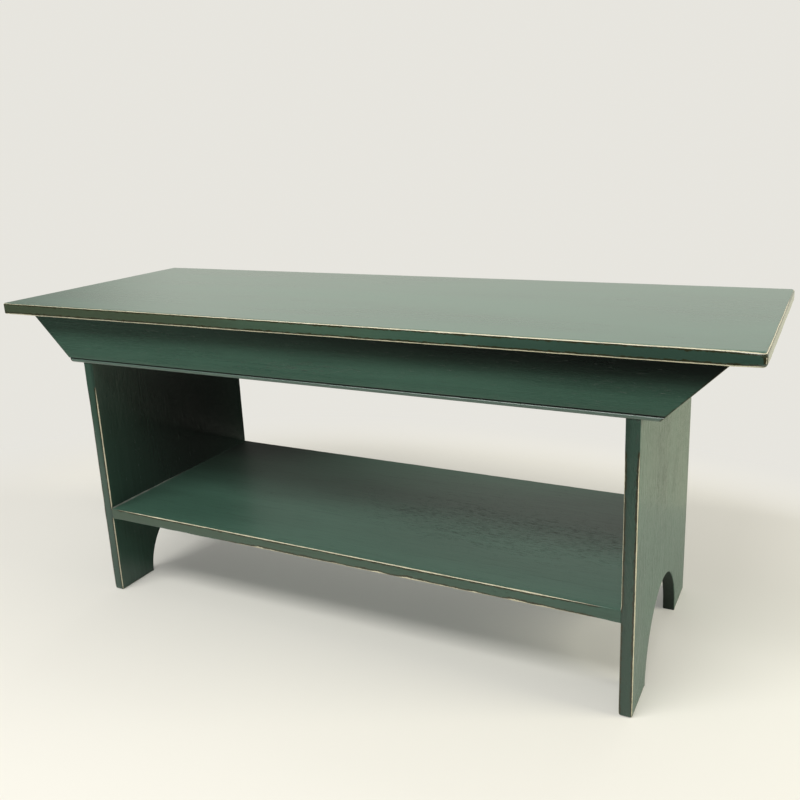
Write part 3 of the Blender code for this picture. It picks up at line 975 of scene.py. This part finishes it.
def make_floor():
    """A pale floor that fades into the backdrop away from the bench, and is dim in front to reflections."""
    material, g = new_material("pale_floor")
    place = g.place()
    path = g.node("ShaderNodeLightPath").outputs
    mottle = g.math("MULTIPLY", g.noise(place, FLOOR_CLOUD), FLOOR_MOTTLE)
    near = g.node("ShaderNodeBsdfDiffuse", {"Color": g.mix(mottle, FLOOR, BACKDROP)})
    front = g.math("MULTIPLY", g.span(g.along(place, 1), *FLOOR_FRONT), path["Is Glossy Ray"])
    dark = g.span(g.along(place, 0), *FRONT_FALL, FRONT_DIM, FRONT_DARK)
    dim = g.span(front, 0.0, 1.0, 1.0, dark)
    far = g.node("ShaderNodeEmission", {"Color": (*BACKDROP, 1.0), "Strength": dim})
    fade = g.span(g.away(place, (0.0, 0.0, 0.0), FLOOR_NEAR), *FLOOR_FADE)
    fade = g.math("MULTIPLY", g.math("MAXIMUM", fade, FLOOR_LIFT), path["Is Camera Ray"])
    fade = g.math("MAXIMUM", fade, front)
    mixed = g.node("ShaderNodeMixShader", {0: fade, 1: near.outputs[0], 2: far.outputs[0]})
    g.node("ShaderNodeOutputMaterial", {"Surface": mixed.outputs[0]})
    r = FLOOR_REACH
    make_sheet("floor", [(-r, -r, 0), (r, -r, 0), (r, r, 0), (-r, r, 0)], material)


def make_cloth():
    """A glowing cloth behind the bench that only reflections show, with painted shade low and to its left."""
    material, g = new_material("studio_cloth")
    place = g.place()
    x = g.along(place, 0)
    z = g.along(place, 2)
    beside = g.math("MAXIMUM", g.span(x, *SHADE_LEFT), g.span(z, *SHADE_TOP))
    right = g.span(x, *SHADE_RIGHT)
    clear = g.math("MAXIMUM", g.math("MULTIPLY", g.span(z, *SHADE_LOW), beside), right)
    fall = g.span(x, *CLOTH_FALL, CLOTH_DIM, 1.0)
    glow = g.math("MULTIPLY", g.span(clear, 0.0, 1.0, SHADE_DIM, 1.0), fall)
    warm = g.math("MULTIPLY", right, g.span(z, *WARM_TOP))
    shader = g.node("ShaderNodeEmission", {"Color": g.mix(warm, CLOTH, CLOTH_WARM), "Strength": glow})
    g.node("ShaderNodeOutputMaterial", {"Surface": shader.outputs[0]})
    w, b, h = CLOTH_HALF, CLOTH_BACK, CLOTH_HEIGHT
    cloth = make_sheet("cloth", [(-w, b, 0), (w, b, 0), (w, b, h), (-w, b, h)], material)
    cloth.visible_camera = False
    cloth.visible_diffuse = False
    cloth.visible_shadow = False


def make_world():
    """An even pale backdrop to the camera, dimmer in front to reflections, and a soft fill light."""
    world = bpy.data.worlds.new("studio")
    world.use_nodes = True
    world.cycles.sampling_method = "NONE"
    bpy.context.scene.world = world
    g = Graph(world.node_tree)
    way = g.node("ShaderNodeTexCoord").outputs["Generated"]
    dim = g.span(g.along(way, 1), *ROOM_FALL, 1.0, FRONT_DIM)
    path = g.node("ShaderNodeLightPath").outputs
    fill = g.node("ShaderNodeBackground", {"Color": (*SOFT_WHITE, 1.0), "Strength": FILL}).outputs[0]
    room = g.node("ShaderNodeBackground", {"Color": (*BACKDROP, 1.0), "Strength": dim}).outputs[0]
    pale = g.node("ShaderNodeBackground", {"Color": (*BACKDROP, 1.0), "Strength": 1.0}).outputs[0]
    shiny = g.math("MAXIMUM", path["Is Glossy Ray"], path["Is Transmission Ray"])
    lit = g.node("ShaderNodeMixShader", {0: shiny, 1: fill, 2: room}).outputs[0]
    mixed = g.node("ShaderNodeMixShader", {0: path["Is Camera Ray"], 1: lit, 2: pale}).outputs[0]
    g.node("ShaderNodeOutputWorld", {"Surface": mixed})


def make_lamp(name, lamp):
    """A soft rectangular lamp."""
    light = bpy.data.lights.new(name, "AREA")
    light.shape = "RECTANGLE"
    light.size = lamp.width
    light.size_y = lamp.depth
    light.energy = lamp.watts
    light.color = lamp.colour
    thing = bpy.data.objects.new(name, light)
    thing.location = lamp.place
    thing.rotation_euler = (Vector(lamp.aim) - Vector(lamp.place)).to_track_quat("-Z", "Y").to_euler()
    thing.visible_glossy = lamp.reflected
    bpy.context.scene.collection.objects.link(thing)


def make_camera():
    """The photograph's camera."""
    data = bpy.data.cameras.new("photo_camera")
    data.lens = CAMERA_LENS_MM
    data.shift_x, data.shift_y = CAMERA_SHIFT
    camera = bpy.data.objects.new("photo_camera", data)
    heading = Vector(CAMERA_AIM) - Vector(CAMERA_EYE)
    turned = heading.to_track_quat("-Z", "Y").to_matrix() @ Matrix.Rotation(CAMERA_ROLL, 3, "Z")
    camera.matrix_world = Matrix.Translation(CAMERA_EYE) @ turned.to_4x4()
    bpy.context.scene.collection.objects.link(camera)
    bpy.context.scene.camera = camera


make_seat()
make_shelf()
for label, leg in LEGS.items():
    make_leg(label, leg)
    make_caulk(label, leg.side)
for label, inward in (("front", 1), ("rear", -1)):
    make_apron(label, inward)
dress_nails()
make_floor()
make_cloth()
make_world()
for name, lamp in LAMPS.items():
    make_lamp(name, lamp)
make_camera()
bpy.context.scene.view_settings.view_transform = "Standard"
